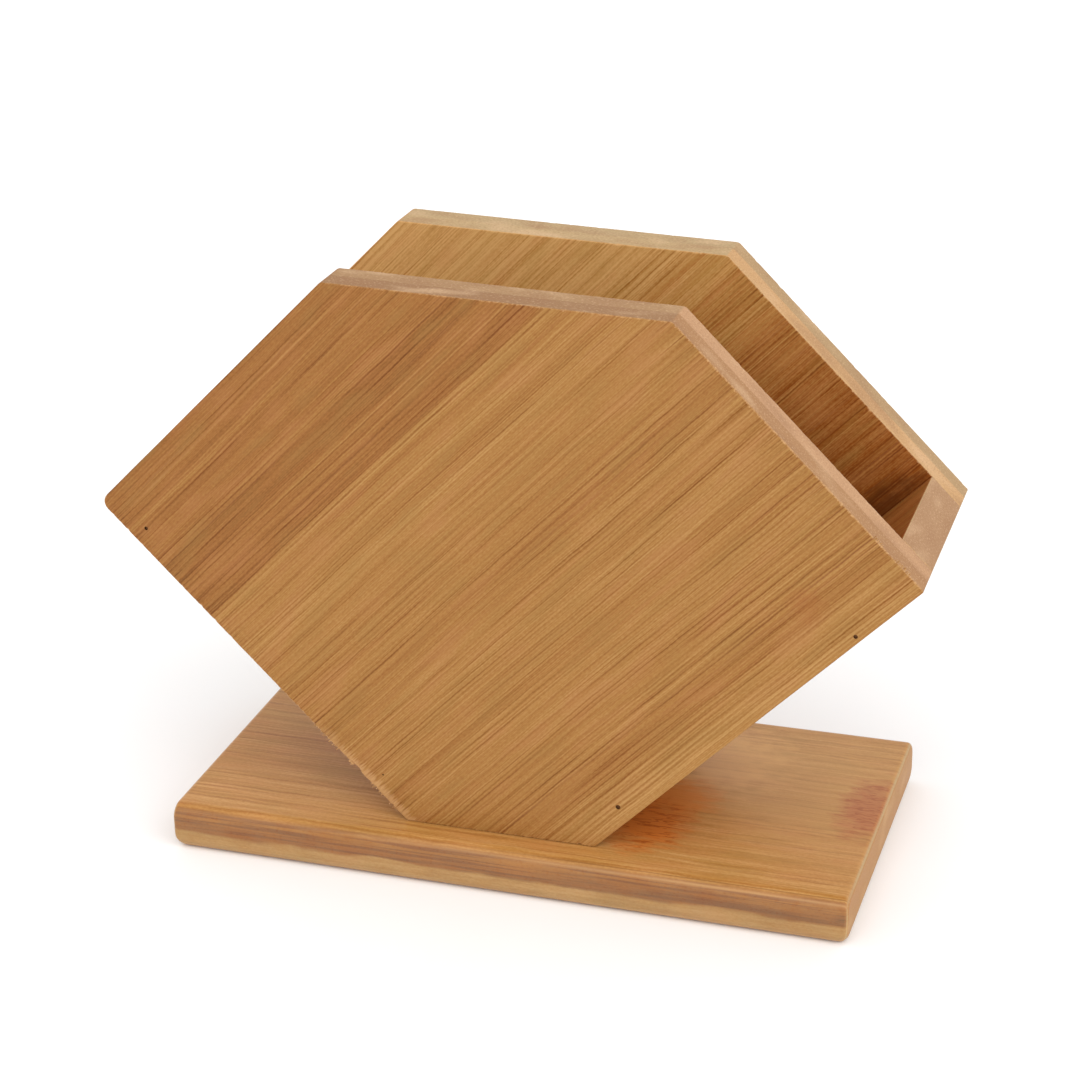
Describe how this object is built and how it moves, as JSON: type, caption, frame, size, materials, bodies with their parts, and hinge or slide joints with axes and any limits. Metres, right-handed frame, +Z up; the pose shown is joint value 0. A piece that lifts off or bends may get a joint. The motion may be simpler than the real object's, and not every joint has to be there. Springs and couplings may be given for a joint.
{
  "type": "napkin holder",
  "caption": "Bamboo napkin holder: two six-sided panels on a flat base plate, with a wedge-shaped pocket between them that is open above.",
  "frame": {"origin": "on the table, midway between the panels' side corners and midway between the base plate's long edges", "axes": "+X to the right along the panels, -Y out of the front panel's face, +Z up"},
  "size_m": [0.18, 0.077, 0.1333],
  "materials": {
    "bamboo_panel": "fine sanded caramel bamboo board with a thin satin lacquer",
    "bamboo_strip": "fine sanded bamboo strip, satin",
    "bamboo_base": "fine sanded bamboo board, satin, with rounded long edges",
    "brad_steel": "darkened steel",
    "screw_steel": "yellow zinc plated steel"
  },
  "bodies": {
    "root": {"base_plate": "bamboo_base", "floor_strip": "bamboo_strip", "left_strip": "bamboo_strip", "right_strip": "bamboo_strip", "front_panel": "bamboo_panel", "back_panel": "bamboo_panel", "front_brads": "brad_steel", "back_brads": "brad_steel", "base_screws": "screw_steel"}
  },
  "joints": []
}
